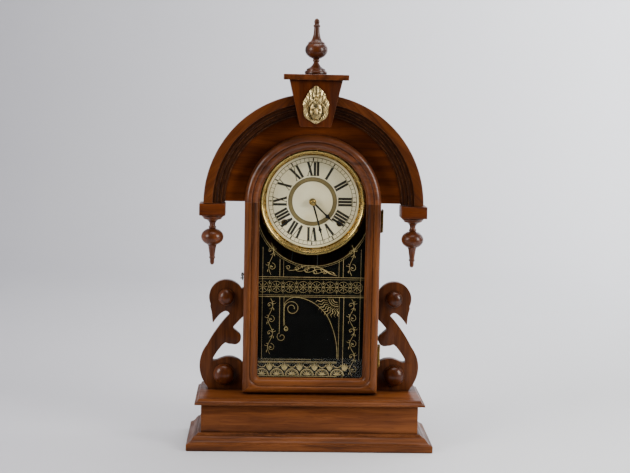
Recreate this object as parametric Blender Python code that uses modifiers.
"""Walnut mantel clock with an arched glass door, a hood with drop finials and scroll brackets.

Metres, +Z up.  The origin is the middle of the footprint, on the surface the clock stands on.
The front faces -Y and the hinges are at +X.  Axis +Y therefore turns clockwise for the viewer.
"""
import math

import bmesh
import bpy
import numpy as np
from mathutils import Matrix, Vector

MM = 0.001
GAP = 0.3 * MM                      # clearance left where two pieces touch
PI = math.pi

# ---- driving dimensions -------------------------------------------------------------------
BASE_HALF_WIDTH = 175 * MM
BASE_HALF_DEPTH = 64 * MM
MOULDING_HEIGHT = 23 * MM
MOULDING_THICKNESS = 20 * MM
PLINTH_HEIGHT = 64 * MM
BOARD_HEIGHT = 8 * MM
CASE_HALF_WIDTH = 96.5 * MM
CASE_FRONT = -3 * MM
CASE_WALL = 12 * MM
BACK_BOARD = 7 * MM
SPRING_LINE = 350 * MM              # height of the centres of the dial, the door arch and the hood
DOOR_HALF_WIDTH = 97.3 * MM
DOOR_FRONT = -22 * MM
DOOR_OPENING = 76 * MM
DOOR_FOOT = 96.5 * MM               # height of the lower edge of the door's opening
HOOD_RADIUS = 155 * MM
HOOD_INNER = 125 * MM
HOOD_FRONT = -38 * MM
PANEL_THICKNESS = 8 * MM
DROP_X = 142.4 * MM
DIAL_RADIUS = 74 * MM
DIAL_FRONT = 12 * MM
DIAL_THICKNESS = 1 * MM
CLEAT_REACH = 69 * MM               # inner edge of the cleats that carry the dial
WINDING_X = 39.8 * MM
WINDING_DROP = 31 * MM              # winding arbors below the hand arbor
PENDULUM_PIVOT = 34 * MM            # suspension point above the hand arbor
PENDULUM_X = 9 * MM                 # the rod hangs beside the hand arbor
PENDULUM_Y = 15 * MM
PLATE_FRONT = 22 * MM               # front face of the movement's front plate
PLATE_SPACING = 26 * MM
PLATE_THICKNESS = 1.5 * MM

# ---- levels and depths that follow ---------------------------------------------------------
PLINTH_HALF_WIDTH = BASE_HALF_WIDTH - MOULDING_THICKNESS
PLINTH_FRONT = -BASE_HALF_DEPTH + MOULDING_THICKNESS
BACK = BASE_HALF_DEPTH
BOARD_TOP = PLINTH_HEIGHT + BOARD_HEIGHT
BOARD_HALF_WIDTH = PLINTH_HALF_WIDTH + 9 * MM
BOARD_FRONT = PLINTH_FRONT - 9 * MM
CASE_FLOOR = BOARD_TOP + GAP
CASE_TOP = SPRING_LINE + 90 * MM
DOOR_BOTTOM = BOARD_TOP + 1.5 * MM
DOOR_BACK = CASE_FRONT - GAP
INSIDE_BACK = BACK - BACK_BOARD
PLATE_REAR = PLATE_FRONT + PLATE_THICKNESS + PLATE_SPACING
PLATE_BACK = PLATE_REAR + PLATE_THICKNESS
PIVOT_Z = SPRING_LINE + PENDULUM_PIVOT
WINDING_Z = SPRING_LINE - WINDING_DROP

# hood
KEY_BOTTOM = 459 * MM
KEY_TOP = 523.6 * MM
KEY_HALF_BOTTOM = 21.5 * MM
KEY_HALF_TOP = 36.8 * MM
KEY_FRONT = -45 * MM
CAP_HALF_WIDTH = 45 * MM
CAP_FRONT = -52 * MM
CAP_TOP = KEY_TOP + 8.2 * MM
FINIAL_Y = -20 * MM
BLOCK_TOP = SPRING_LINE - 1 * MM
BLOCK_BOTTOM = BLOCK_TOP - 17 * MM

# scroll brackets
SCROLL_FRONT = 14 * MM
SCROLL_THICKNESS = 12 * MM
UPPER_LOBE = (122.5 * MM, 208.5 * MM)
UPPER_LOBE_RADIUS = 25 * MM
LOWER_BOSS = (124.5 * MM, 94.8 * MM)
INNER_LOBE = (110 * MM, 148 * MM)
INNER_LOBE_RADIUS = 9.5 * MM

# door
GLASS_FRONT = -12.5 * MM
GLASS_THICKNESS = 2 * MM
REBATE = 3.5 * MM
HINGE_X = DOOR_HALF_WIDTH + 2.6 * MM
HINGE_Y = CASE_FRONT - 0.5 * GAP
HINGE_HEIGHTS = {"lower": 128 * MM, "upper": 325 * MM}
HINGE_LENGTH = 32 * MM
LEAF_THICKNESS = 1.1 * MM
LEAF_WIDTH = 12 * MM
KNUCKLE_RADIUS = 2.1 * MM
PIN_RADIUS = 1.0 * MM
KNUCKLE_GAP = 0.2 * MM

# door latch
LATCH_Z = 243 * MM
LATCH_Y = 7 * MM
EYE_RADIUS = 3.4 * MM
BAR_HALF = 1.1 * MM
CATCH_Y = DOOR_FRONT + 8 * MM
CATCH_RADIUS = 1.0 * MM

# dial and hands
CENTER_HOLE = 4.5 * MM
WINDING_HOLE = 4.8 * MM
BEZEL_RADIUS = 77 * MM
BEZEL_INNER = 67 * MM
ARBOR_RADIUS = 1.6 * MM
PIPE_RADIUS = 3.0 * MM
MINUTE_HAND_Y = 4.2 * MM
HOUR_HAND_Y = 7.2 * MM
HAND_THICKNESS = 0.7 * MM
MINUTE_ANGLE = 164                  # degrees clockwise from twelve
HOUR_ANGLE = 134

# movement
TEETH = {"great": 48, "second_pinion": 8, "second": 40, "center_pinion": 12, "center": 60,
         "third_pinion": 6, "third": 60, "escape_pinion": 6, "escape": 36, "cannon": 12, "minute": 36,
         "minute_pinion": 10, "hour": 40}
GREAT_RADIUS = 28.5 * MM
SECOND_RADIUS = 15.4 * MM
CENTER_RADIUS = 17.6 * MM
THIRD_RADIUS = 14.7 * MM
ESCAPE_RADIUS = 10.4 * MM
HOUR_RADIUS = 9.6 * MM
MINUTE_RADIUS = 9.0 * MM
SHAKE = 0.45 * MM                   # clearance added to each pair's distance
ESCAPE_DROP = 13 * MM               # escape arbor below the verge arbor
PIVOT_RADIUS = 0.9 * MM
PIVOT_HOLE = 1.15 * MM
WINDING_RADIUS = 2.6 * MM
HAMMER_X = -24 * MM
HAMMER_Z = SPRING_LINE - 60 * MM
BOB_Z = 115 * MM
BOB_RADIUS = 24 * MM
GONG_CENTER = (0.0, 205 * MM)
GONG_RADIUS = 46 * MM
GONG_WIRE = 1.2 * MM
GONG_Y = 44 * MM

# colours
WALNUT = (0.17, 0.055, 0.02, 1.0)
WALNUT_DARK = (0.10, 0.032, 0.013, 1.0)
BRASS = (0.62, 0.44, 0.16, 1.0)
STEEL = (0.30, 0.30, 0.31, 1.0)
BLACK_IRON = (0.03, 0.03, 0.035, 1.0)
CREAM = (0.72, 0.66, 0.50, 1.0)
GLASS_BLACK = (0.02, 0.02, 0.02, 1.0)


# ---- modelling helpers ----------------------------------------------------------------------
def clear_scene():
    """Remove every object, so that the script builds on an empty scene."""
    for thing in list(bpy.data.objects):
        bpy.data.objects.remove(thing, do_unlink=True)


def make_collection(name):
    """Add a collection to the scene."""
    group = bpy.data.collections.new(name)
    bpy.context.scene.collection.children.link(group)
    return group


def material(name, color, roughness, metallic):
    """Make a Principled material for one piece."""
    mat = bpy.data.materials.new(name)
    mat.use_nodes = True
    shader = mat.node_tree.nodes["Principled BSDF"]
    shader.inputs["Base Color"].default_value = color
    shader.inputs["Roughness"].default_value = roughness
    shader.inputs["Metallic"].default_value = metallic
    return mat


FINISHES = {
    "walnut": (WALNUT, 0.40, 0.0),
    "dark_walnut": (WALNUT_DARK, 0.45, 0.0),
    "brass": (BRASS, 0.30, 1.0),
    "steel": (STEEL, 0.35, 1.0),
    "iron": (BLACK_IRON, 0.50, 0.8),
    "cream": (CREAM, 0.55, 0.0),
    "black_glass": (GLASS_BLACK, 0.05, 0.0),
}


def mesh_object(name, work, finish=None, smooth=False):
    """Turn a bmesh into an object; pieces with a finish are parts, the others stay loose helpers."""
    data = bpy.data.meshes.new(name)
    bmesh.ops.recalc_face_normals(work, faces=work.faces)
    work.to_mesh(data)
    work.free()
    thing = bpy.data.objects.new(name, data)
    if smooth:
        data.shade_smooth()
        data.set_sharp_from_angle(angle=math.radians(35))
    if finish:
        PARTS.objects.link(thing)
        data.materials.append(material(name, *FINISHES[finish]))
    return thing


def box_mesh(low, high):
    """A bmesh box from its low and high corners."""
    work = bmesh.new()
    bmesh.ops.create_cube(work, size=1.0)
    size = [b - a for a, b in zip(low, high)]
    middle = [(a + b) / 2 for a, b in zip(low, high)]
    bmesh.ops.scale(work, verts=work.verts, vec=size)
    bmesh.ops.translate(work, verts=work.verts, vec=middle)
    return work


def rod_mesh(radius, start, end, x=0.0, z=0.0, sides=16, tip=None):
    """A bmesh cylinder, or cone with a tip radius, along Y between two depths."""
    work = bmesh.new()
    small = radius if tip is None else tip
    bmesh.ops.create_cone(work, cap_ends=True, segments=sides, radius1=radius, radius2=small,
                          depth=end - start)
    bmesh.ops.rotate(work, verts=work.verts, matrix=Matrix.Rotation(-PI / 2, 3, "X"))
    bmesh.ops.translate(work, verts=work.verts, vec=(x, (start + end) / 2, z))
    return work


def outline_mesh(outlines, low, high, plane="XZ"):
    """A bmesh of flat outlines, holes included, between two levels across their plane."""
    curve = bpy.data.curves.new("outline", "CURVE")
    curve.dimensions = "2D"
    curve.fill_mode = "BOTH"
    curve.extrude = (high - low) / 2
    for points in outlines:
        spline = curve.splines.new("POLY")
        spline.points.add(len(points) - 1)
        for slot, (across, up) in zip(spline.points, points):
            slot.co = (across, up, 0, 1)
        spline.use_cyclic_u = True
    thing = bpy.data.objects.new("outline", curve)
    bpy.context.scene.collection.objects.link(thing)
    depsgraph = bpy.context.evaluated_depsgraph_get()
    data = bpy.data.meshes.new_from_object(thing.evaluated_get(depsgraph))
    work = bmesh.new()
    work.from_mesh(data)
    bmesh.ops.remove_doubles(work, verts=work.verts, dist=0.01 * MM)
    bpy.data.objects.remove(thing)
    bpy.data.curves.remove(curve)
    bpy.data.meshes.remove(data)
    middle = (low + high) / 2
    turns = {"XZ": Matrix.Rotation(PI / 2, 4, "X"),
             "XY": Matrix.Identity(4),
             "YZ": Matrix.Rotation(PI / 2, 4, "Z") @ Matrix.Rotation(PI / 2, 4, "X")}
    shift = {"XZ": (0, middle, 0), "XY": (0, 0, middle), "YZ": (middle, 0, 0)}
    bmesh.ops.transform(work, verts=work.verts, matrix=Matrix.Translation(shift[plane]) @ turns[plane])
    return work


def arc(center, radius, start, end, steps):
    """Points along an arc, angles in degrees counted from +X towards +Z."""
    return [(center[0] + radius * math.cos(math.radians(angle)),
             center[1] + radius * math.sin(math.radians(angle)))
            for angle in np.linspace(start, end, steps + 1)]


def circle(center, radius, steps):
    """A closed circle of points."""
    return arc(center, radius, 0, 360, steps)[:-1]


def turned_mesh(profile, steps):
    """A bmesh of a profile of (radius, height) points turned about Z with the Screw modifier."""
    data = bpy.data.meshes.new("profile")
    verts = [(radius, 0, height) for radius, height in profile]
    data.from_pydata(verts, [(i, i + 1) for i in range(len(verts) - 1)], [])
    thing = bpy.data.objects.new("profile", data)
    bpy.context.scene.collection.objects.link(thing)
    screw = thing.modifiers.new("Turn", "SCREW")
    screw.steps = steps
    screw.render_steps = steps
    screw.use_merge_vertices = True
    screw.merge_threshold = 0.01 * MM
    depsgraph = bpy.context.evaluated_depsgraph_get()
    result = bpy.data.meshes.new_from_object(thing.evaluated_get(depsgraph))
    work = bmesh.new()
    work.from_mesh(result)
    bmesh.ops.remove_doubles(work, verts=work.verts, dist=0.01 * MM)
    bpy.data.objects.remove(thing)
    bpy.data.meshes.remove(result)
    bpy.data.meshes.remove(data)
    return work


def move(work, x=0.0, y=0.0, z=0.0):
    """Shift a bmesh and return it."""
    bmesh.ops.translate(work, verts=work.verts, vec=(x, y, z))
    return work


def turn(work, degrees, axis, center=(0, 0, 0)):
    """Turn a bmesh about an axis through a point and return it."""
    bmesh.ops.rotate(work, verts=work.verts, cent=center,
                     matrix=Matrix.Rotation(math.radians(degrees), 3, axis))
    return work


def mirrored(work):
    """The mirror image of a bmesh across X = 0."""
    other = work.copy()
    bmesh.ops.scale(other, verts=other.verts, vec=(-1, 1, 1))
    bmesh.ops.reverse_faces(other, faces=other.faces)
    return other


def pair(name, right, finish, smooth=False):
    """A piece at the viewer's right and its mirror image at the left, as two objects."""
    mesh_object(f"{name}_left", mirrored(right), finish, smooth)
    mesh_object(f"{name}_right", right, finish, smooth)


def cut_plane(work, point, normal):
    """Cut away the side of a closed bmesh that the normal points to, and close the cut."""
    geometry = work.verts[:] + work.edges[:] + work.faces[:]
    cut = bmesh.ops.bisect_plane(work, geom=geometry, plane_co=point, plane_no=normal,
                                 clear_outer=True, dist=0.001 * MM)
    edges = [item for item in cut["geom_cut"] if isinstance(item, bmesh.types.BMEdge)]
    bmesh.ops.triangle_fill(work, edges=edges, use_beauty=True)
    return work


def combine(name, base, tools, finish, operation="DIFFERENCE", smooth=False):
    """A part made of a base solid with tool solids cut from it, joined to it or kept in common."""
    thing = mesh_object(name, base, finish, smooth)
    for number, tool in enumerate(tools):
        cutter = mesh_object(f"{name}_tool_{number}", tool)
        CUTTERS.objects.link(cutter)
        cutter.hide_render = True
        cutter.display_type = "WIRE"
        step = thing.modifiers.new(f"Step {number}", "BOOLEAN")
        step.operation = operation
        step.object = cutter
    return thing


def set_pivot(thing, point):
    """Put an object's origin on its joint's axis without moving its surface."""
    thing.data.transform(Matrix.Translation(-Vector(point)))
    thing.location = point
    return thing


# ---- base ------------------------------------------------------------------------------------
def moulding_profile():
    """Cross-section of the base moulding: (outward, height) points from the plinth's face."""
    out = MOULDING_THICKNESS
    return [(GAP, 0), (out - 1 * MM, 0), (out, 1 * MM), (out, 10 * MM), (out - 3 * MM, 12 * MM),
            (out - 4 * MM, 14 * MM), (6 * MM, 20 * MM), (4 * MM, MOULDING_HEIGHT),
            (GAP, MOULDING_HEIGHT)]


def build_base():
    """Plinth frame, its applied moulding with mitred corners, and the moulded top board."""
    top = PLINTH_HEIGHT - GAP
    depth = 15 * MM
    outer = PLINTH_HALF_WIDTH
    inner = outer - depth
    frame = [(-outer, PLINTH_FRONT), (outer, PLINTH_FRONT), (outer, BACK), (inner, BACK),
             (inner, PLINTH_FRONT + depth), (-inner, PLINTH_FRONT + depth), (-inner, BACK), (-outer, BACK)]
    mesh_object("plinth_frame", outline_mesh([frame], 0, top, "XY"), "walnut")

    along_front = [(PLINTH_FRONT - out, height) for out, height in moulding_profile()]
    strip = outline_mesh([along_front], -BASE_HALF_WIDTH, BASE_HALF_WIDTH, "YZ")
    for side in (-1, 1):
        corner = (side * (PLINTH_HALF_WIDTH - GAP / 2), PLINTH_FRONT, 0)
        cut_plane(strip, corner, (side, 1, 0))
    mesh_object("base_moulding_front", strip, "walnut")
    for side, name in ((-1, "base_moulding_left"), (1, "base_moulding_right")):
        section = [(side * (PLINTH_HALF_WIDTH + out), height) for out, height in moulding_profile()]
        strip = outline_mesh([section], -BASE_HALF_DEPTH, BACK, "XZ")
        corner = (side * (PLINTH_HALF_WIDTH + GAP / 2), PLINTH_FRONT, 0)
        cut_plane(strip, corner, (-side, -1, 0))
        mesh_object(name, strip, "walnut")

    fillet = PLINTH_HEIGHT + 3 * MM
    edge = [(0, PLINTH_HEIGHT), (0, fillet), (2 * MM, fillet + 0.4 * MM), (4.5 * MM, fillet + 2.4 * MM),
            (6 * MM, BOARD_TOP)]
    lengthwise = [(BOARD_FRONT + inward, height) for inward, height in edge]
    lengthwise += [(BACK, BOARD_TOP), (BACK, PLINTH_HEIGHT)]
    left = [(-BOARD_HALF_WIDTH + inward, height) for inward, height in edge]
    right = [(BOARD_HALF_WIDTH - inward, height) for inward, height in reversed(edge)]
    reach = BOARD_HALF_WIDTH + 5 * MM
    combine("base_top_board", outline_mesh([lengthwise], -reach, reach, "YZ"),
            [outline_mesh([left + right], BOARD_FRONT - 5 * MM, BACK + 5 * MM, "XZ")],
            "walnut", "INTERSECT")


# ---- case ------------------------------------------------------------------------------------
def build_case():
    """Two side boards, the top board and the back board of the case behind the door."""
    panel_back = CASE_FRONT + PANEL_THICKNESS + GAP
    top = CASE_TOP - 12 * MM - GAP
    rear = INSIDE_BACK - GAP
    side = [(CASE_FRONT, CASE_FLOOR), (rear, CASE_FLOOR), (rear, top), (panel_back, top),
            (panel_back, SPRING_LINE - GAP), (CASE_FRONT, SPRING_LINE - GAP)]
    inner = CASE_HALF_WIDTH - CASE_WALL
    cleat_front = DIAL_FRONT + DIAL_THICKNESS + GAP
    for sign, name in ((-1, "case_left_side"), (1, "case_right_side")):
        low, high = sorted((sign * inner, sign * CASE_HALF_WIDTH))
        near, far = sorted((sign * CLEAT_REACH, sign * (inner + 4 * MM)))
        cleat = box_mesh((near, cleat_front, SPRING_LINE - 22 * MM),
                         (far, cleat_front + 14 * MM, SPRING_LINE + 22 * MM))
        combine(name, outline_mesh([side], low, high, "YZ"), [cleat], "walnut", "UNION")
    mesh_object("case_top_board", box_mesh((-CASE_HALF_WIDTH, panel_back, top + GAP),
                                           (CASE_HALF_WIDTH, rear, CASE_TOP)), "dark_walnut")
    mesh_object("back_board", box_mesh((-CASE_HALF_WIDTH, INSIDE_BACK, CASE_FLOOR),
                                       (CASE_HALF_WIDTH, BACK, CASE_TOP)), "dark_walnut")


# ---- hood ------------------------------------------------------------------------------------
def hood_section():
    """Cross-section of the hood's arched moulding: (radius, depth) points, turned about +Y."""
    back = CASE_FRONT - GAP
    groove = 9.5 * MM
    inner = HOOD_INNER
    return [(HOOD_RADIUS, back), (HOOD_RADIUS, HOOD_FRONT + 1 * MM), (HOOD_RADIUS - 1 * MM, HOOD_FRONT),
            (inner + 17 * MM, HOOD_FRONT), (inner + 16 * MM, HOOD_FRONT + 2.5 * MM),
            (inner + 12 * MM, HOOD_FRONT + 4 * MM), (inner + groove, HOOD_FRONT + 8 * MM),
            (inner + 7.5 * MM, HOOD_FRONT + 14 * MM), (inner + 3.5 * MM, HOOD_FRONT + 15 * MM),
            (inner + 1 * MM, HOOD_FRONT + 18 * MM), (inner, HOOD_FRONT + 22 * MM), (inner, back)]


def swept_arch(section, start, end, steps):
    """A closed section of (radius, depth) points swept round the arch's centre, between angles."""
    work = bmesh.new()
    rings = []
    for angle in np.linspace(math.radians(start), math.radians(end), steps + 1):
        across, up = math.cos(angle), math.sin(angle)
        places = [(radius * across, depth, SPRING_LINE + radius * up) for radius, depth in section]
        rings.append([work.verts.new(place) for place in places])
    count = len(section)
    for first, second in zip(rings, rings[1:]):
        for i in range(count):
            j = (i + 1) % count
            work.faces.new((first[i], first[j], second[j], second[i]))
    work.faces.new(rings[0])
    work.faces.new(rings[-1])
    return work


def bulb(center, half_height, radius, low, high, steps):
    """Profile points of a rounded bulb between two heights, from the lower to the upper."""
    points = []
    for share in np.linspace(low, high, steps + 1):
        height = max(-1.0, min(1.0, share))
        points.append((radius * math.sqrt(max(0.0, 1 - height * height)), center + height * half_height))
    return points


def drop_profile():
    """Drop finial, (radius, height) from its flat top down to its tip, measured from its top."""
    upper = [(0, 0), (15.4, 0), (15.4, -2.4), (12.4, -5.6), (8.0, -7.4), (4.4, -11), (4.0, -12.8), (4.4, -15),
             (5.3, -16.4), (5.3, -18.2)]
    body = [(radius, height) for radius, height in reversed(bulb(-31, 12.4, 16, -0.92, 0.9, 6))]
    lower = [(4.9, -47.5), (3.7, -58.5), (4.5, -60), (4.5, -61.8), (3.1, -63.4), (2.9, -68.8), (0, -71.2)]
    return [(radius * MM, height * MM) for radius, height in upper + body + lower]


def top_profile():
    """Top finial, (radius, height) from its tip down to its foot, measured from the cap."""
    tip = [(0, 77.4), (3.0, 74.4), (3.7, 69.5), (4.6, 68), (4.6, 66), (3.9, 65), (4.1, 57), (5.4, 52),
           (11.2, 44.6), (11.6, 43.2)]
    body = [(radius, height) for radius, height in reversed(bulb(34, 12.8, 16, -0.92, 0.72, 6))]
    foot = [(4.4, 21.2), (3.5, 18.6), (3.6, 16.2), (10.2, 8.6), (13.0, 7.4), (13.4, 5.4), (15.4, 4.6)]
    foot += [(15.6, 0), (0, 0)]
    return [(radius * MM, height * MM) for radius, height in tip + body + foot]


def build_hood():
    """Arched panel and moulding, with blocks, drops, keystone, cap, ornament and top finial."""
    outer = HOOD_RADIUS - 0.5 * MM
    opening = DOOR_OPENING + 9 * MM
    panel = arc((0, SPRING_LINE), outer, 0, 180, 32) + arc((0, SPRING_LINE), opening, 180, 0, 24)
    mesh_object("tympanum_panel", outline_mesh([panel], CASE_FRONT, CASE_FRONT + PANEL_THICKNESS),
                "dark_walnut")
    key_left = 90 + math.degrees(math.asin(23 * MM / HOOD_INNER)) * 0.55
    section = hood_section()
    left = swept_arch(section, key_left, 180, 16)
    right = swept_arch(section, 0, 180 - key_left, 16)
    mesh_object("hood_arch_left", left, "walnut", True)
    mesh_object("hood_arch_right", right, "walnut", True)

    low = (DROP_X - 18.3 * MM, HOOD_FRONT, BLOCK_BOTTOM)
    block = box_mesh(low, (DROP_X + 18.3 * MM, CASE_FRONT, BLOCK_TOP))
    bmesh.ops.bevel(block, geom=block.edges, offset=1 * MM, segments=1, affect="EDGES")
    pair("hood_block", block, "walnut")
    drop = move(turned_mesh(drop_profile(), 14), DROP_X, FINIAL_Y, BLOCK_BOTTOM - GAP)
    pair("drop_finial", drop, "walnut", True)

    wedge = [(-KEY_HALF_BOTTOM, KEY_BOTTOM), (KEY_HALF_BOTTOM, KEY_BOTTOM), (KEY_HALF_TOP, KEY_TOP),
             (-KEY_HALF_TOP, KEY_TOP)]
    keystone = outline_mesh([wedge], KEY_FRONT, CASE_FRONT - GAP)
    arch_left = swept_arch(grown(section, 0.35 * MM), key_left - 0.15, 181, 16)
    arch_right = swept_arch(grown(section, 0.35 * MM), -1, 180.15 - key_left, 16)
    combine("keystone", keystone, [arch_left, arch_right], "walnut")
    cap = box_mesh((-CAP_HALF_WIDTH, CAP_FRONT, KEY_TOP + GAP), (CAP_HALF_WIDTH, 6 * MM, CAP_TOP))
    bmesh.ops.bevel(cap, geom=cap.edges, offset=0.8 * MM, segments=1, affect="EDGES")
    mesh_object("keystone_cap", cap, "walnut")
    finial = move(turned_mesh(top_profile(), 14), 0, FINIAL_Y, CAP_TOP + GAP)
    mesh_object("top_finial", finial, "walnut", True)
    build_mask()


def grown(section, amount):
    """The hood's section with its outline pushed outwards, for a cutter with clearance."""
    middle_radius = sum(point[0] for point in section) / len(section)
    middle_depth = sum(point[1] for point in section) / len(section)
    result = []
    for radius, depth in section:
        away = math.hypot(radius - middle_radius, depth - middle_depth)
        scale = (away + amount * 1.6) / away
        result.append((middle_radius + (radius - middle_radius) * scale,
                       middle_depth + (depth - middle_depth) * scale))
    return result


def build_mask():
    """Cast ornament on the keystone: a domed head with a headdress, as one closed casting."""
    low, high = 463 * MM, 517 * MM
    middle = 487 * MM
    outline = [(0, high), (9 * MM, 510 * MM), (16 * MM, 501 * MM), (18.4 * MM, 492 * MM),
               (15.5 * MM, 480 * MM), (11 * MM, 471 * MM), (0, low)]
    full = outline + [(-x, z) for x, z in reversed(outline[1:-1])]
    work = bmesh.new()
    back = [work.verts.new((x, KEY_FRONT - GAP, z)) for x, z in full]
    rim = [work.verts.new((x, KEY_FRONT - 2.5 * MM, z)) for x, z in full]
    face = [work.verts.new((x * 0.72, KEY_FRONT - 7 * MM, middle + (z - middle) * 0.76)) for x, z in full]
    front = [work.verts.new((x * 0.36, KEY_FRONT - 10 * MM, middle + (z - middle) * 0.42)) for x, z in full]
    rings = (back, rim, face, front)
    count = len(full)
    for first, second in zip(rings, rings[1:]):
        for i in range(count):
            j = (i + 1) % count
            work.faces.new((first[i], first[j], second[j], second[i]))
    work.faces.new(back)
    work.faces.new(front)
    mesh_object("mask_ornament", work, "brass")


# ---- scroll brackets -------------------------------------------------------------------------


def scroll_outline():
    """Outline of the right bracket: a beaked upper lobe, a long outer curve and a lower foot."""
    side = CASE_HALF_WIDTH + GAP
    points = [(side, CASE_FLOOR)]
    points.append((147 * MM, CASE_FLOOR))
    points += arc((113 * MM, 107 * MM), 47.5 * MM, -42, 38, 9)[1:]
    points += [(141.5 * MM, 153 * MM), (131.5 * MM, 166.5 * MM), (117.5 * MM, 183.2 * MM),
               (124.3 * MM, 188.2 * MM), (141.2 * MM, 170.5 * MM), (141.3 * MM, 184 * MM)]
    points += arc(UPPER_LOBE, UPPER_LOBE_RADIUS, -28, 150, 12)
    points.append((side, 222 * MM))
    points.append((side, 181 * MM))
    points.append((113 * MM, 163.4 * MM))
    points.append((107.5 * MM, 159.8 * MM))
    points += arc(INNER_LOBE, INNER_LOBE_RADIUS, 110, 290, 7)[1:]
    points += [(118 * MM, 139.2 * MM), (123.5 * MM, 141 * MM), (141.2 * MM, 117.5 * MM),
               (139.3 * MM, 114.2 * MM), (134.9 * MM, 115 * MM), (128 * MM, 118.2 * MM),
               (120 * MM, 120.4 * MM), (111 * MM, 119.6 * MM), (103 * MM, 116 * MM), (side, 110 * MM)]
    return points


def build_scrolls():
    """Sawn scroll brackets at the case's sides, each with two turned bosses."""
    right = scroll_outline()
    left = [(-x, z) for x, z in reversed(right)]
    span = (SCROLL_FRONT, SCROLL_FRONT + SCROLL_THICKNESS)
    mesh_object("right_scroll", outline_mesh([right], *span), "walnut")
    mesh_object("left_scroll", outline_mesh([left], *span), "walnut")
    for name, center, radius in (("upper_boss", UPPER_LOBE, 12 * MM), ("lower_boss", LOWER_BOSS, 15.5 * MM)):
        bulge = 0.78 * radius
        profile = [(0, bulge + 4 * MM)]
        profile += [(radius * math.sin(angle), 4 * MM + bulge * math.cos(angle))
                    for angle in np.linspace(0, PI / 2, 5)[1:]]
        profile += [(radius * 0.95, 0), (0, 0)]
        boss = turn(turned_mesh(profile, 14), 90, "X")
        move(boss, center[0], SCROLL_FRONT - GAP, center[1])
        pair(name, boss, "walnut", True)


# ---- door ------------------------------------------------------------------------------------


def door_section():
    """Cross-section of the door frame: (distance from the centre line, depth) points."""
    inner = DOOR_OPENING
    outer = DOOR_HALF_WIDTH
    ledge = GLASS_FRONT - GAP
    return [(outer, DOOR_BACK), (outer, DOOR_FRONT + 7 * MM), (outer - 2 * MM, DOOR_FRONT + 3.5 * MM),
            (outer - 6 * MM, DOOR_FRONT), (outer - 11 * MM, DOOR_FRONT),
            (outer - 13 * MM, DOOR_FRONT + 1.6 * MM), (outer - 16 * MM, DOOR_FRONT + 1.8 * MM),
            (outer - 20 * MM, DOOR_FRONT + 4.5 * MM), (inner, DOOR_FRONT + 6.5 * MM), (inner, ledge),
            (inner + REBATE, ledge), (inner + REBATE, DOOR_BACK)]


def build_door():
    """Arch, stiles and bottom rail of one section with mitred lower corners, and the glass."""
    section = door_section()
    bottom = [(DOOR_BOTTOM + DOOR_HALF_WIDTH - across, depth) for across, depth in section]
    rail_lift = DOOR_FOOT - DOOR_BOTTOM - (DOOR_HALF_WIDTH - DOOR_OPENING)
    lower = [(depth, height if height < DOOR_BOTTOM + 4 * MM else height + rail_lift)
             for height, depth in bottom]
    corner_outer = Vector((DOOR_HALF_WIDTH, 0, DOOR_BOTTOM))
    corner_inner = Vector((DOOR_OPENING, 0, DOOR_FOOT))
    run = corner_inner - corner_outer
    normal = Vector((run.z, 0, -run.x)).normalized()
    rail = outline_mesh([lower], -DOOR_HALF_WIDTH, DOOR_HALF_WIDTH, "YZ")
    cut_plane(rail, corner_outer - normal * GAP / 2, normal)
    cut_plane(rail, Vector((-corner_outer.x, 0, corner_outer.z)) - Vector((-normal.x, 0, normal.z)) * GAP / 2,
              Vector((-normal.x, 0, normal.z)))
    rail_thing = mesh_object("door_bottom_rail", rail, "walnut")
    things = [rail_thing]
    for sign, name in ((-1, "door_left_stile"), (1, "door_right_stile")):
        across = [(sign * x, depth) for x, depth in section]
        stile = outline_mesh([across], DOOR_BOTTOM, SPRING_LINE - GAP, "XY")
        away = Vector((sign * normal.x, 0, normal.z))
        cut_plane(stile, Vector((sign * corner_outer.x, 0, corner_outer.z)) + away * GAP / 2, -away)
        things.append(mesh_object(name, stile, "walnut"))
    arch = swept_arch(section, 0, 180, 28)
    things.append(mesh_object("door_arch", arch, "walnut", True))

    edge = DOOR_OPENING + REBATE - GAP
    pane = [(-edge, DOOR_FOOT - REBATE + GAP), (edge, DOOR_FOOT - REBATE + GAP)]
    pane += arc((0, SPRING_LINE), edge, 0, 180, 28)
    glass = outline_mesh([pane], GLASS_FRONT, GLASS_FRONT + GLASS_THICKNESS)
    things.append(mesh_object("door_glass", glass, "black_glass"))
    for thing in things:
        set_pivot(thing, (HINGE_X, HINGE_Y, 0))


def knuckle(low, high, hollow):
    """One hinge knuckle standing on Z: a tube round the pin, or a solid stretch fixed to it."""
    rings = [circle((HINGE_X, HINGE_Y), KNUCKLE_RADIUS, 10)]
    if hollow:
        rings.append(circle((HINGE_X, HINGE_Y), PIN_RADIUS + 0.12 * MM, 10))
    return outline_mesh(rings, low, high, "XY")


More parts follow.
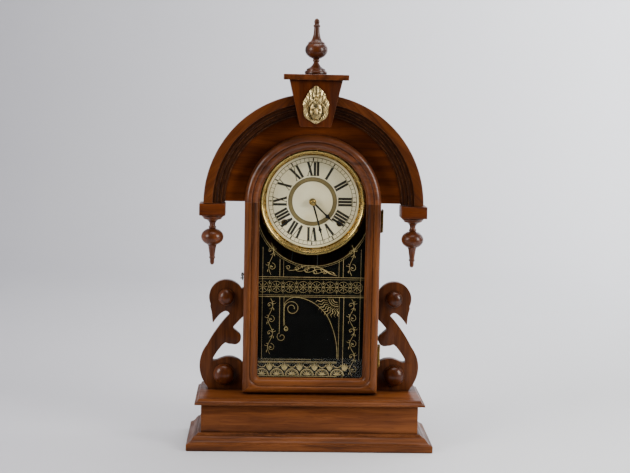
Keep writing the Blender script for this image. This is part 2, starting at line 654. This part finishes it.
def build_hinges():
    """Two butt hinges; each pin is fixed in the middle knuckle of the leaf on the case."""
    third = HINGE_LENGTH / 3
    clear = KNUCKLE_RADIUS + 0.15 * MM
    for where, height in HINGE_HEIGHTS.items():
        low = height - HINGE_LENGTH / 2
        high = height + HINGE_LENGTH / 2
        face = CASE_HALF_WIDTH + GAP
        leaf = box_mesh((face, HINGE_Y + clear, low), (face + LEAF_THICKNESS, HINGE_Y + LEAF_WIDTH, high))
        middle = (low + third + KNUCKLE_GAP, high - third - KNUCKLE_GAP)
        arm = box_mesh((face, HINGE_Y + 1.0 * MM, middle[0]), (HINGE_X, HINGE_Y + 2.0 * MM, middle[1]))
        foot = box_mesh((face, HINGE_Y + 1.0 * MM, middle[0]),
                        (face + LEAF_THICKNESS, HINGE_Y + 4 * MM, middle[1]))
        pin = outline_mesh([circle((HINGE_X, HINGE_Y), PIN_RADIUS, 10)], low - 1 * MM, high + 1 * MM, "XY")
        combine(f"{where}_hinge_case_leaf", leaf, [arm, foot, knuckle(*middle, False), pin], "brass", "UNION")

        face = DOOR_HALF_WIDTH + GAP
        leaf = box_mesh((face, HINGE_Y - LEAF_WIDTH, low), (face + LEAF_THICKNESS, HINGE_Y - clear, high))
        joined = []
        for start in (low, high - third):
            joined.append(box_mesh((face, HINGE_Y - 1.95 * MM, start),
                                   (HINGE_X, HINGE_Y - 1.25 * MM, start + third)))
            joined.append(box_mesh((face, HINGE_Y - 4 * MM, start),
                                   (face + 0.8 * MM, HINGE_Y - 1.25 * MM, start + third)))
            joined.append(knuckle(start, start + third, True))
        name = f"{where}_hinge_door_leaf"
        set_pivot(combine(name, leaf, joined, "brass", "UNION"), (HINGE_X, HINGE_Y, 0))


# ---- door latch ------------------------------------------------------------------------------


def build_latch():
    """A flat hook that turns on a screw in the case side and drops over a pin in the door's edge."""
    side = -CASE_HALF_WIDTH - GAP
    hook_outer = -DOOR_HALF_WIDTH - 2.2 * MM
    eye = (LATCH_Y, LATCH_Z)
    catch = (CATCH_Y, LATCH_Z - 1.9 * MM)
    throat = CATCH_RADIUS + 0.35 * MM
    outline = arc(eye, EYE_RADIUS, 161, -161, 14)
    outline += [(CATCH_Y + throat, LATCH_Z - BAR_HALF)]
    outline += arc(catch, throat, 20, 180, 6)
    outline += [(CATCH_Y - throat, catch[1] - 2.4 * MM), (CATCH_Y - throat - 2.2 * MM, catch[1] - 2.8 * MM),
                (CATCH_Y - throat - 1.8 * MM, LATCH_Z + 0.4 * MM), (CATCH_Y - throat, LATCH_Z + 1.6 * MM),
                (CATCH_Y + throat + 1.5 * MM, LATCH_Z + BAR_HALF)]
    hole = circle(eye, 1.75 * MM, 12)
    hook = outline_mesh([outline, hole], hook_outer, hook_outer + 1.3 * MM, "YZ")
    set_pivot(mesh_object("latch_hook", hook, "iron"), (hook_outer, LATCH_Y, LATCH_Z))
    head = -(hook_outer - side) + 0.3 * MM
    screw = turned_mesh([(0, head + 1.4 * MM), (2.2 * MM, head + 1.4 * MM), (3.2 * MM, head + 0.4 * MM),
                         (3.2 * MM, head), (1.55 * MM, head), (1.55 * MM, 0), (0, 0)], 14)
    turn(screw, -90, "Y")
    mesh_object("latch_screw", move(screw, side, LATCH_Y, LATCH_Z), "steel", True)
    length = 4.2 * MM
    pin = turn(rod_mesh(CATCH_RADIUS, 0, length, sides=12), 90, "Z")
    move(pin, -DOOR_HALF_WIDTH - GAP, catch[0], catch[1])
    set_pivot(mesh_object("latch_catch_pin", pin, "steel", True), (HINGE_X, HINGE_Y, 0))


# ---- dial and hands --------------------------------------------------------------------------


def build_dial():
    """Dial plate with its three holes, and the turned brass bezel round it."""
    holes = [circle((0, SPRING_LINE), CENTER_HOLE, 16)]
    holes += [circle((side * WINDING_X, WINDING_Z), WINDING_HOLE, 16) for side in (-1, 1)]
    disc = circle((0, SPRING_LINE), DIAL_RADIUS, 40)
    mesh_object("dial_plate", outline_mesh([disc] + holes, DIAL_FRONT, DIAL_FRONT + DIAL_THICKNESS), "cream")
    front = CASE_FRONT + 0.5 * MM
    section = [(BEZEL_RADIUS, DIAL_FRONT - GAP), (BEZEL_RADIUS, front + 2 * MM),
               (BEZEL_RADIUS - 1 * MM, front + 0.5 * MM), (BEZEL_RADIUS - 3 * MM, front),
               (BEZEL_RADIUS - 5.5 * MM, front + 1.5 * MM), (BEZEL_INNER + 1 * MM, front + 8 * MM),
               (BEZEL_INNER, DIAL_FRONT - GAP)]
    profile = [(radius, -depth) for radius, depth in section]
    ring = turned_mesh([profile[-1]] + profile, 40)
    bmesh.ops.remove_doubles(ring, verts=ring.verts, dist=0.01 * MM)
    turn(ring, 90, "X")
    mesh_object("dial_bezel", move(ring, z=SPRING_LINE), "brass", True)


def hand_outline(length, tail, neck, cross, cross_half_width, cross_half_length):
    """Outline of a hand along its length: a slim blade with a diamond on it, ending in a point."""
    half = [(1.5 * MM, 4.0 * MM), (neck, cross - cross_half_length), (cross_half_width, cross - 0.5 * MM),
            (cross_half_width, cross + 0.5 * MM), (neck * 0.9, cross + cross_half_length),
            (neck * 0.7, length - 5 * MM)]
    right = half + [(0, length)]
    left = [(-x, z) for x, z in reversed(half)]
    foot = arc((0, 0), tail, 138, 402, 12)
    return right + left + foot


def build_hands():
    """Hour and minute hands with round hubs, and the domed nut in front of them."""
    hands = {
        "hour_hand": (HOUR_HAND_Y, HOUR_ANGLE, PIPE_RADIUS,
                      hand_outline(42.5 * MM, 5.2 * MM, 1.15 * MM, 30 * MM, 3.9 * MM, 4.2 * MM)),
        "minute_hand": (MINUTE_HAND_Y, MINUTE_ANGLE, ARBOR_RADIUS,
                        hand_outline(62 * MM, 4.4 * MM, 1.0 * MM, 41.6 * MM, 2.8 * MM, 4.8 * MM)),
    }
    for name, (depth, angle, bore, outline) in hands.items():
        hole = circle((0, 0), bore + 0.1 * MM, 16)
        flat = outline_mesh([outline, hole], depth, depth + HAND_THICKNESS)
        turn(flat, angle, "Y")
        set_pivot(mesh_object(name, move(flat, z=SPRING_LINE), "iron"), (0, 0, SPRING_LINE))
    nut = turned_mesh([(0, 2.6 * MM), (2.6 * MM, 2.2 * MM), (4.4 * MM, 1.1 * MM), (5.2 * MM, 0), (0, 0)], 18)
    turn(nut, 90, "X")
    nut = move(nut, y=MINUTE_HAND_Y - GAP, z=SPRING_LINE)
    set_pivot(mesh_object("hand_nut", nut, "brass", True), (0, 0, SPRING_LINE))


# ---- movement --------------------------------------------------------------------------------


def pinion_radius(wheel_radius, pinion, wheel):
    """Pitch radius of a pinion that meshes with a wheel."""
    return wheel_radius * TEETH[pinion] / TEETH[wheel]


def mesh_distance(wheel_radius, pinion, wheel):
    """Distance between the arbors of a wheel and its pinion."""
    return wheel_radius + pinion_radius(wheel_radius, pinion, wheel) + SHAKE


def meeting(first, first_distance, second, second_distance, side):
    """The point at two given distances from two points, on the given side of their line."""
    start, end = Vector(first), Vector(second)
    line = end - start
    along = (first_distance ** 2 - second_distance ** 2 + line.length ** 2) / (2 * line.length)
    across = math.sqrt(first_distance ** 2 - along ** 2)
    unit = line.normalized()
    point = start + unit * along + Vector((unit.y, -unit.x)) * across * side
    return (point.x, point.y)


def toothed(center, teeth, radius, mate=None):
    """Outline of a wheel with pointed teeth; a tooth, or with pinions a gap, faces its mate."""
    depth = min(0.9 * MM, radius * PI / teeth * 0.9)
    toward = math.atan2(mate[1] - center[1], mate[0] - center[0]) if mate else 0.0
    phase = 0.5 if teeth < 20 else 0.0
    points = []
    for index in range(teeth):
        for share, offset in ((index + phase, depth * 0.5), (index + phase + 0.5, -depth * 0.5)):
            angle = toward + 2 * PI * share / teeth
            points.append((center[0] + (radius + offset) * math.cos(angle),
                           center[1] + (radius + offset) * math.sin(angle)))
    return points


def arbor(name, center, pieces, start, end, finish="brass", radius=PIVOT_RADIUS, sides=8):
    """A wheel's arbor between two depths, joined with its wheel and pinion."""
    shaft = rod_mesh(radius, start, end, center[0], center[1], sides)
    thing = combine(name, shaft, pieces, finish, "UNION")
    return set_pivot(thing, (center[0], 0, center[1]))


def plate_outline():
    """Outline of a movement plate: full width at the great wheels, narrower at the bottom."""
    low, high = SPRING_LINE - 68 * MM, SPRING_LINE + 48 * MM
    half = [(30 * MM, low), (54 * MM, low + 24 * MM), (54 * MM, high - 14 * MM), (40 * MM, high)]
    return half + [(-x, z) for x, z in reversed(half)]


def spiral(center, inner, outer, turns, thickness, steps):
    """Outline of a flat strip wound in a spiral, with a gap between its turns."""
    outside, inside = [], []
    for index in range(steps + 1):
        share = index / steps
        angle = 2 * PI * turns * share
        radius = inner + (outer - inner) * share
        for points, offset in ((outside, thickness / 2), (inside, -thickness / 2)):
            points.append((center[0] + (radius + offset) * math.cos(angle),
                           center[1] + (radius + offset) * math.sin(angle)))
    return outside + inside[::-1]


def build_movement():
    """Plates, going train, motion work, strike great wheel, mainsprings and verge."""
    hand = (0.0, SPRING_LINE)
    time_great = (WINDING_X, WINDING_Z)
    strike_great = (-WINDING_X, WINDING_Z)
    verge = (PENDULUM_X, PIVOT_Z)
    escape = (PENDULUM_X, PIVOT_Z - ESCAPE_DROP)
    third = meeting(hand, mesh_distance(CENTER_RADIUS, "third_pinion", "center"),
                    escape, mesh_distance(THIRD_RADIUS, "escape_pinion", "third"), 1)
    second = meeting(hand, mesh_distance(SECOND_RADIUS, "center_pinion", "second"),
                     time_great, mesh_distance(GREAT_RADIUS, "second_pinion", "great"), 1)
    minute = (-mesh_distance(MINUTE_RADIUS, "cannon", "minute"), SPRING_LINE)
    hammer = (HAMMER_X, HAMMER_Z)

    shared = [circle(point, PIVOT_HOLE, 8) for point in (third, second, escape, hammer, verge)]
    shared += [circle(point, WINDING_RADIUS + 0.4 * MM, 8) for point in (time_great, strike_great)]
    shared.append(circle(hand, ARBOR_RADIUS + 0.4 * MM, 12))
    post = box_mesh((PENDULUM_X - 3 * MM, PENDULUM_Y - 1.4 * MM, PIVOT_Z + 2 * MM),
                    (PENDULUM_X + 3 * MM, PLATE_FRONT + PLATE_THICKNESS, PIVOT_Z + 8 * MM))
    front = outline_mesh([plate_outline(), circle(minute, PIVOT_HOLE, 8)] + shared, PLATE_FRONT,
                         PLATE_FRONT + PLATE_THICKNESS)
    combine("movement_front_plate", front, [post], "brass", "UNION")
    pillars = []
    for x, z in ((-12, -62), (12, -62), (-44, 34), (44, 34)):
        pillars.append(rod_mesh(3 * MM, PLATE_FRONT + PLATE_THICKNESS + GAP, INSIDE_BACK - GAP,
                                x * MM, SPRING_LINE + z * MM, 8))
    rear = outline_mesh([plate_outline()] + shared, PLATE_REAR, PLATE_BACK)
    combine("movement_back_plate", rear, pillars, "brass", "UNION")

    between = (PLATE_FRONT - 0.2 * MM, PLATE_BACK + 0.2 * MM)

    def disc(center, wheel, radius, depth, mate, thickness=1.2 * MM):
        return outline_mesh([toothed(center, TEETH[wheel], radius, mate)], depth, depth + thickness)

    great_wheels = (("time_great_wheel", time_great, second), ("strike_great_wheel", strike_great, None))
    for name, center, mate in great_wheels:
        wheel = disc(center, "great", GREAT_RADIUS, 29 * MM, mate, 1.6 * MM)
        arbor(name, center, [wheel], DIAL_FRONT + 2.5 * MM, PLATE_BACK + 0.2 * MM,
              radius=WINDING_RADIUS, sides=4)
        ring = spiral(center, 6 * MM, 23 * MM, 3.5, 0.8 * MM, 42)
        spring_name = name.replace("great_wheel", "mainspring")
        mesh_object(spring_name, outline_mesh([ring], 36 * MM, 46 * MM), "steel")
    arbor("second_wheel", second,
          [disc(second, "second", SECOND_RADIUS, 32.5 * MM, hand),
           disc(second, "second_pinion", pinion_radius(GREAT_RADIUS, "second_pinion", "great"), 28 * MM,
                time_great, 5 * MM)], *between)
    arbor("center_wheel", hand,
          [disc(hand, "center", CENTER_RADIUS, 47 * MM, third),
           disc(hand, "center_pinion", pinion_radius(SECOND_RADIUS, "center_pinion", "second"), 31.5 * MM,
                second, 3 * MM),
           disc(hand, "cannon", pinion_radius(MINUTE_RADIUS, "cannon", "minute"), 19.4 * MM,
                minute, 1.6 * MM)],
          MINUTE_HAND_Y, PLATE_BACK + 0.2 * MM, "steel", ARBOR_RADIUS, 14)
    arbor("third_wheel", third,
          [disc(third, "third", THIRD_RADIUS, 40.5 * MM, escape),
           disc(third, "third_pinion", pinion_radius(CENTER_RADIUS, "third_pinion", "center"), 46.2 * MM,
                hand, 2.8 * MM)], *between)
    arbor("escape_wheel", escape,
          [disc(escape, "escape", ESCAPE_RADIUS, 27 * MM, verge, 1 * MM),
           disc(escape, "escape_pinion", pinion_radius(THIRD_RADIUS, "escape_pinion", "third"), 39.7 * MM,
                third, 2.8 * MM)], *between)
    arbor("minute_wheel", minute,
          [disc(minute, "minute", MINUTE_RADIUS, 19.6 * MM, hand),
           disc(minute, "minute_pinion", pinion_radius(HOUR_RADIUS, "minute_pinion", "hour"), 16.6 * MM,
                hand, 3.2 * MM)], 16.4 * MM, PLATE_FRONT + 2 * MM)
    bore = circle(hand, ARBOR_RADIUS + 0.35 * MM, 16)
    pipe = outline_mesh([circle(hand, PIPE_RADIUS, 16), bore], HOUR_HAND_Y - 0.4 * MM, 17.2 * MM)
    wheel = outline_mesh([toothed(hand, TEETH["hour"], HOUR_RADIUS, minute), bore], 17 * MM, 18 * MM)
    set_pivot(combine("hour_wheel", pipe, [wheel], "brass", "UNION"), (0, 0, SPRING_LINE))

    strip = [(-7.8, -4.4), (-7.4, -1.5), (-2, 2), (2, 2), (7.4, -1.5), (7.8, -4.4), (6.6, -3.8), (5.9, -2.5),
             (1.5, -0.7), (-1.5, -0.7), (-5.9, -2.5), (-6.6, -3.8)]
    pallets = outline_mesh([[(verge[0] + x * MM, verge[1] + z * MM) for x, z in strip]], 26.6 * MM, 28.4 * MM)
    blade = [(-3, 1), (3, 1), (3, -23), (-3, -23)]
    crutch = outline_mesh([[(verge[0] + x * MM, verge[1] + z * MM) for x, z in blade]], 18.6 * MM, 19.4 * MM)
    prongs = [rod_mesh(0.6 * MM, PENDULUM_Y - 1.6 * MM, 19 * MM, verge[0] + x * MM, verge[1] - 22 * MM, 8)
              for x in (-1.9, 1.9)]
    arbor("verge", verge, [pallets, crutch] + prongs, 18.2 * MM, PLATE_BACK + 0.2 * MM, "steel")


def build_pendulum():
    """Rod with its suspension strip, and the lens-shaped bob below."""
    top = PIVOT_Z + 1.6 * MM
    rod = bmesh.new()
    low = BOB_Z + BOB_RADIUS + GAP
    radius = 0.8 * MM
    bmesh.ops.create_cone(rod, cap_ends=True, segments=10, radius1=radius, radius2=radius, depth=top - low)
    pivot = (PENDULUM_X, PENDULUM_Y, PIVOT_Z)
    move(rod, PENDULUM_X, PENDULUM_Y, (top + low) / 2)
    set_pivot(mesh_object("pendulum_rod", rod, "steel", True), pivot)
    half = 4 * MM
    profile = [(BOB_RADIUS * math.sin(angle), half * math.cos(angle)) for angle in np.linspace(0, PI, 9)]
    bob = turn(turned_mesh(profile, 24), 90, "X")
    set_pivot(mesh_object("pendulum_bob", move(bob, PENDULUM_X, PENDULUM_Y, BOB_Z), "brass", True), pivot)


def build_strike():
    """Coil gong, held at its inner end in a cast block, and the hammer beside its outer turn."""
    center_x, center_z = GONG_CENTER
    block = box_mesh((-11 * MM, 38 * MM, center_z - 11 * MM),
                     (11 * MM, INSIDE_BACK - GAP, center_z + 11 * MM))
    bmesh.ops.bevel(block, geom=block.edges, offset=2 * MM, segments=1, affect="EDGES")
    curve = bpy.data.curves.new("coil", "CURVE")
    curve.dimensions = "3D"
    curve.bevel_depth = GONG_WIRE
    curve.bevel_resolution = 2
    curve.use_fill_caps = True
    spline = curve.splines.new("POLY")
    turns, steps, inner = 3, 39, 9 * MM
    spline.points.add(steps)
    for index, point in enumerate(spline.points):
        share = index / steps
        angle = 2 * PI * turns * share
        radius = inner + (GONG_RADIUS - inner) * share
        point.co = (center_x + radius * math.cos(angle), GONG_Y, center_z + radius * math.sin(angle), 1)
    coil = bpy.data.objects.new("coil", curve)
    bpy.context.scene.collection.objects.link(coil)
    depsgraph = bpy.context.evaluated_depsgraph_get()
    data = bpy.data.meshes.new_from_object(coil.evaluated_get(depsgraph))
    work = bmesh.new()
    work.from_mesh(data)
    bmesh.ops.remove_doubles(work, verts=work.verts, dist=0.01 * MM)
    bpy.data.objects.remove(coil)
    combine("coil_gong", work, [block], "iron", "UNION")

    reach = GONG_RADIUS + GONG_WIRE + 4 * MM
    angle = math.radians(125)
    head = (center_x + reach * math.cos(angle), center_z + reach * math.sin(angle))
    lean = math.atan2(HAMMER_X - head[0], HAMMER_Z - head[1])
    length = math.hypot(HAMMER_X - head[0], HAMMER_Z - head[1])
    arm = box_mesh((-0.7 * MM, GONG_Y - 0.7 * MM, -length), (0.7 * MM, GONG_Y + 0.7 * MM, 0))
    knob = bmesh.new()
    bmesh.ops.create_cone(knob, cap_ends=True, segments=14, radius1=3.2 * MM, radius2=3.2 * MM, depth=7 * MM)
    turn(knob, 90, "Y")
    move(knob, 0, GONG_Y, -length)
    for work in (arm, knob):
        turn(work, math.degrees(lean), "Y")
        move(work, HAMMER_X, 0, HAMMER_Z)
    arbor("strike_hammer", (HAMMER_X, HAMMER_Z), [arm, knob], PLATE_FRONT - 0.2 * MM, PLATE_BACK + 0.2 * MM,
          "steel")


PARTS = None
CUTTERS = None


def main():
    """Build the whole clock."""
    global PARTS, CUTTERS
    clear_scene()
    PARTS = make_collection("mantel_clock")
    CUTTERS = make_collection("cutters")
    build_base()
    build_case()
    build_hood()
    build_scrolls()
    build_door()
    build_hinges()
    build_latch()
    build_dial()
    build_hands()
    build_movement()
    build_pendulum()
    build_strike()


main()
